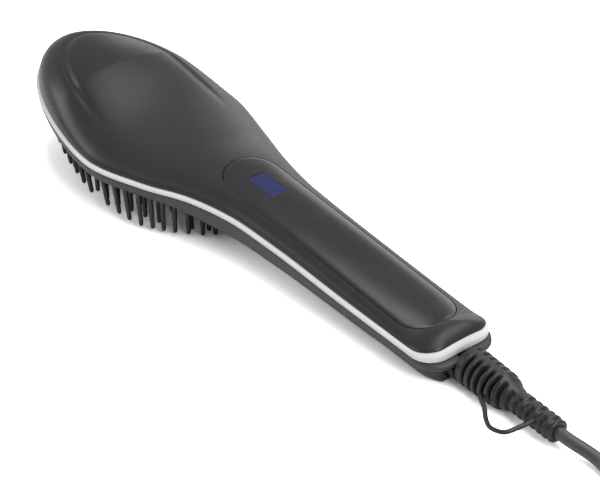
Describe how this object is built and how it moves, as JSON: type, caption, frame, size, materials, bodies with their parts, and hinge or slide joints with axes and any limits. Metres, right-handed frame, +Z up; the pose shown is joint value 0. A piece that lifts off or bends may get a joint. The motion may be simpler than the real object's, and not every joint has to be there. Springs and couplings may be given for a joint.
{
  "type": "hair straightening brush",
  "caption": "Electric hair straightening brush with an oval heated bristle head, long grip with display panel, three underside buttons, swivel cord boot with hang loop, coiled cord and plug.",
  "frame": {"origin": "middle of the brush's footprint on the surface that it lies on, its cord, coil and plug left out", "axes": "+X along the brush from the head to the cord, +Z up, and -Y the side that faces the camera"},
  "size_m": [0.4446, 0.117, 0.0454],
  "materials": {
    "shell": "satin charcoal, softly mottled",
    "under_shell": "satin grey",
    "band": "satin silver paint",
    "panel": "semi-gloss dark grey",
    "window": "glossy tinted window",
    "bristle": "matte black",
    "plate": "black coated, with moulded heat-safe tips",
    "button": "matte dark grey",
    "ceramic": "matte off-white",
    "mica": "matte",
    "board": "solder mask green",
    "steel": "plain",
    "copper": "plain",
    "boot_rubber": "soft black",
    "red_wire": "insulated wire",
    "blue_wire": "insulated wire",
    "cord": "satin black"
  },
  "bodies": {
    "housing": {"top_shell": "shell", "trim_band": "band", "bottom_shell": "under_shell", "control_panel": "panel", "display_window": "window", "case_screw_1": "steel", "case_screw_2": "steel", "case_screw_3": "steel", "case_screw_4": "steel", "bristle_frame": "bristle", "heat_plate": "plate", "front_heater": "ceramic", "rear_heater": "ceramic", "insulation_sheet": "mica", "heater_clamp": "steel", "clamp_screw_1": "steel", "clamp_screw_2": "steel", "thermistor": "bristle", "thermal_fuse": "ceramic", "main_board": "board", "display_module": "bristle", "button_board": "board", "power_switch": "steel", "plus_switch": "steel", "minus_switch": "steel", "swivel_bush": "copper", "contact_block": "ceramic", "live_lead": "red_wire", "neutral_lead": "blue_wire", "heater_lead_1": "red_wire", "heater_lead_2": "blue_wire", "cord_lead": "cord", "cord_coil": "cord", "cord_tail": "cord", "plug_body": "cord", "plug_pin_1": "steel", "plug_pin_2": "steel"},
    "power": {"power_button": "button"},
    "plus": {"plus_button": "button"},
    "minus": {"minus_button": "button"},
    "boot": {"strain_relief_boot": "boot_rubber", "hang_loop": "boot_rubber", "swivel_stem": "bristle", "front_slip_ring": "copper", "rear_slip_ring": "copper"}
  },
  "joints": [
    {"name": "power_press", "type": "slide", "parent": "housing", "child": "power", "axis": [0.0753, 0, 0.9972], "range_m": [0, 0.0007], "stiffness_N_per_m": 400},
    {"name": "plus_press", "type": "slide", "parent": "housing", "child": "plus", "axis": [0.0753, 0, 0.9972], "range_m": [0, 0.0007], "stiffness_N_per_m": 400},
    {"name": "minus_press", "type": "slide", "parent": "housing", "child": "minus", "axis": [0.0753, 0, 0.9972], "range_m": [0, 0.0007], "stiffness_N_per_m": 400},
    {"name": "cord_swivel", "type": "hinge", "parent": "housing", "child": "boot", "pos_m": [0.09298, 0, 0.00768], "axis": [0.9977, -0.0593, -0.0317], "continuous": true}
  ]
}
